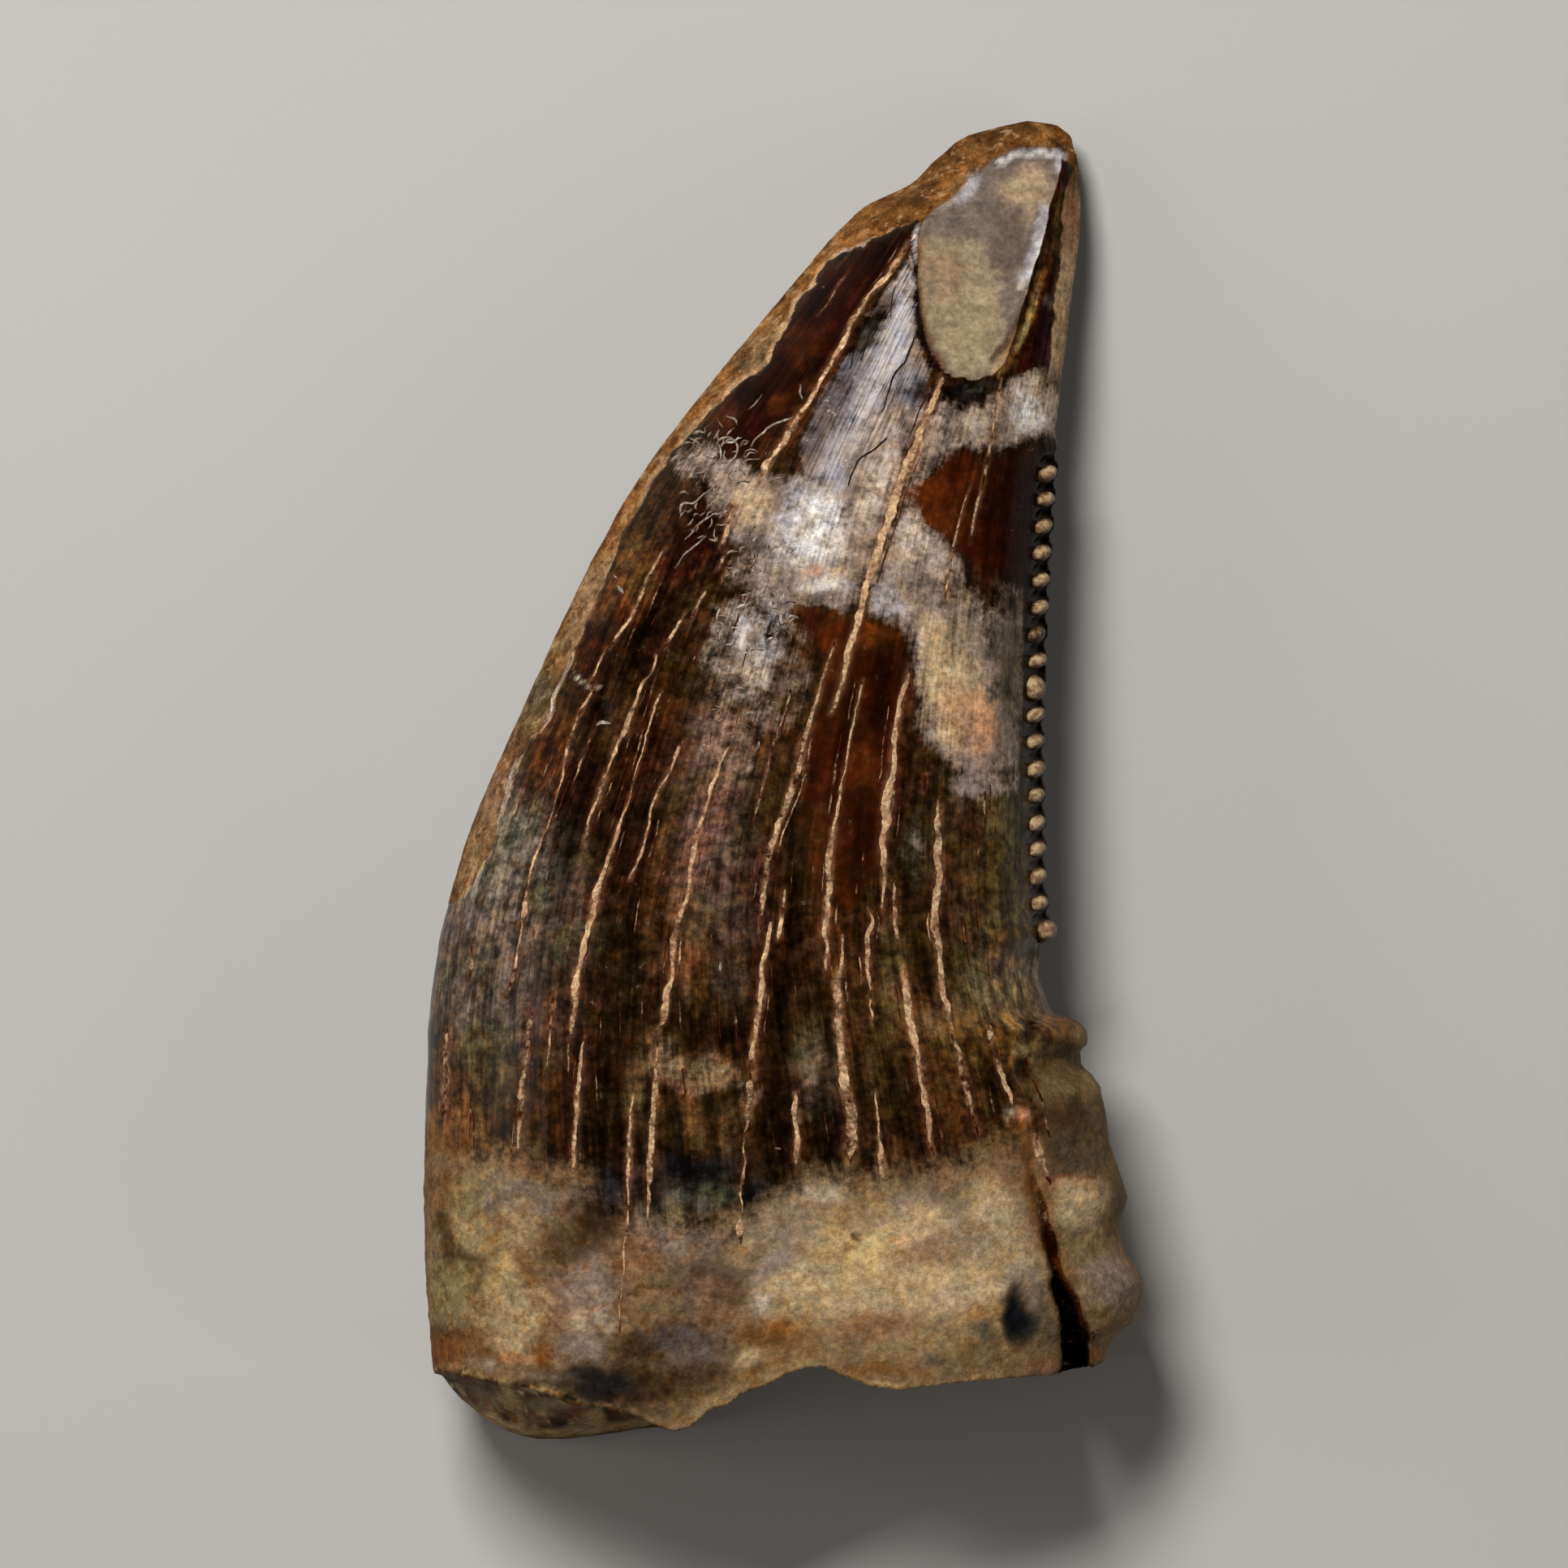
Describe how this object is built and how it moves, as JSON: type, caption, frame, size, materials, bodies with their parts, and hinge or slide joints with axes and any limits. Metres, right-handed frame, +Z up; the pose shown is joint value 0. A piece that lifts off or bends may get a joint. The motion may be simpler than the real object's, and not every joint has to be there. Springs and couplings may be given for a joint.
{
  "type": "fossil nanotyrannus tooth",
  "caption": "Blade-shaped fossil dinosaur tooth crown, flattened from side to side, with a serrated rear edge, a worn oval facet at the tip and a broken base. It lies on its flatter side.",
  "frame": {"origin": "bottom centre of the tooth's bounding box, on the surface it lies on", "axes": "+Z up from the surface, +Y from the broken base to the tip, +X towards the serrated rear edge"},
  "size_m": [0.0104, 0.0192, 0.0048],
  "materials": {
    "enamel": "satin fossil enamel, dark brown with tan and cream patches and tan sediment in its cracks"
  },
  "bodies": {
    "root": {"tooth": "enamel"}
  },
  "joints": []
}
